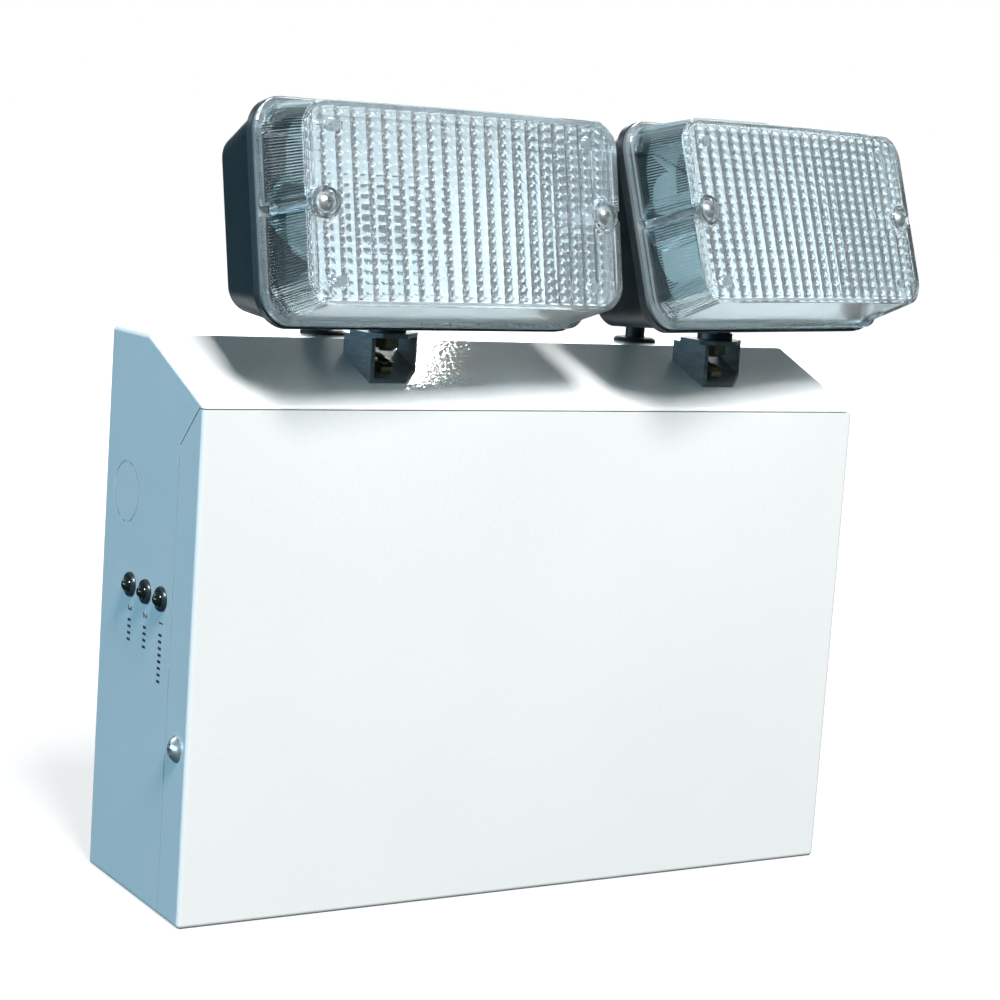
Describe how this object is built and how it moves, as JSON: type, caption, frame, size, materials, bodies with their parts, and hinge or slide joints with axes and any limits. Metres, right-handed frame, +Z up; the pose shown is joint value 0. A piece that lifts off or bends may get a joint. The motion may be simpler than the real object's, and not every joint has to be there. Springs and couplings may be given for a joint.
{
  "type": "twin-head emergency light",
  "caption": "Wall-mounted emergency light: a white folded-steel battery cabinet with a sloping top that carries rectangular lamp heads with clear fluted lenses on pan-and-tilt swivels.",
  "frame": {"origin": "middle of the four wall fixing holes, on the outside of the back", "axes": "+X to the right seen from the front, +Y into the wall, +Z up; the front cover faces -Y"},
  "size_m": [0.2894, 0.1126, 0.2709],
  "materials": {
    "white_paint": "gloss powder coat with a fine orange peel",
    "chrome": "bright plated",
    "black_plastic": "satin moulded",
    "lamp_dark": "unlit tinted lamp",
    "battery_plastic": "moulded case",
    "zinc": "yellow zinc plated",
    "board_green": "coated board",
    "white_plastic": "moulded",
    "core_steel": "stacked laminations",
    "coil_copper": "wound and taped",
    "dark_steel": "dark plated",
    "black_rubber": "soft moulded",
    "reflector_mirror": "vacuum metallised",
    "clear_lens": "clear fluted moulding",
    "bulb_glass": "clear capsule"
  },
  "bodies": {
    "cabinet": {"back_box": "white_paint", "front_cover": "white_paint", "cover_screws": "chrome", "led_holders": "black_plastic", "leds": "lamp_dark", "battery": "battery_plastic", "battery_terminals": "zinc", "battery_strap": "zinc", "strap_screws": "zinc", "charger_board": "board_green", "board_posts": "white_plastic", "relay": "black_plastic", "capacitor": "black_plastic", "fuse_holder": "black_plastic", "terminal_block": "white_plastic", "transformer_core": "core_steel", "transformer_coil": "coil_copper", "left_bracket": "dark_steel", "left_base_bolt": "zinc", "left_base_nut": "zinc", "left_rivet": "dark_steel", "left_grommet": "black_rubber", "left_lead": "black_rubber", "right_bracket": "dark_steel", "right_base_bolt": "zinc", "right_base_nut": "zinc", "right_rivet": "dark_steel", "right_grommet": "black_rubber", "right_lead": "black_rubber"},
    "left_swivel": {"left_pivot_stud": "zinc", "left_pivot_nut": "zinc", "left_swivel_foot": "black_plastic"},
    "left_head": {"left_tilt_bolt": "zinc", "left_tilt_nut": "zinc", "left_housing": "black_plastic", "left_gasket": "black_rubber", "left_reflector": "reflector_mirror", "left_lens": "clear_lens", "left_lens_screws": "chrome", "left_bulb": "bulb_glass", "left_bulb_holder": "black_plastic", "left_boot": "black_rubber"},
    "right_swivel": {"right_pivot_stud": "zinc", "right_pivot_nut": "zinc", "right_swivel_foot": "black_plastic"},
    "right_head": {"right_tilt_bolt": "zinc", "right_tilt_nut": "zinc", "right_housing": "black_plastic", "right_gasket": "black_rubber", "right_reflector": "reflector_mirror", "right_lens": "clear_lens", "right_lens_screws": "chrome", "right_bulb": "bulb_glass", "right_bulb_holder": "black_plastic", "right_boot": "black_rubber"}
  },
  "joints": [
    {"name": "left_pan", "type": "hinge", "parent": "cabinet", "child": "left_swivel", "pos_m": [-0.053, -0.052, 0.105], "axis": [0, 0, 1], "range_deg": [-37.5, 2], "deforming": ["left_lead"]},
    {"name": "left_tilt", "type": "hinge", "parent": "left_swivel", "child": "left_head", "pos_m": [-0.053, -0.052, 0.105], "axis": [-0.9914, -0.1305, 0], "range_deg": [-14.5, 14.5], "deforming": ["left_lead"]},
    {"name": "right_pan", "type": "hinge", "parent": "cabinet", "child": "right_swivel", "pos_m": [0.083, -0.052, 0.105], "axis": [0, 0, 1], "range_deg": [-4, 24.5], "deforming": ["right_lead"]},
    {"name": "right_tilt", "type": "hinge", "parent": "right_swivel", "child": "right_head", "pos_m": [0.083, -0.052, 0.105], "axis": [-0.9636, -0.2672, 0], "range_deg": [-21, 8], "deforming": ["right_lead"]}
  ]
}
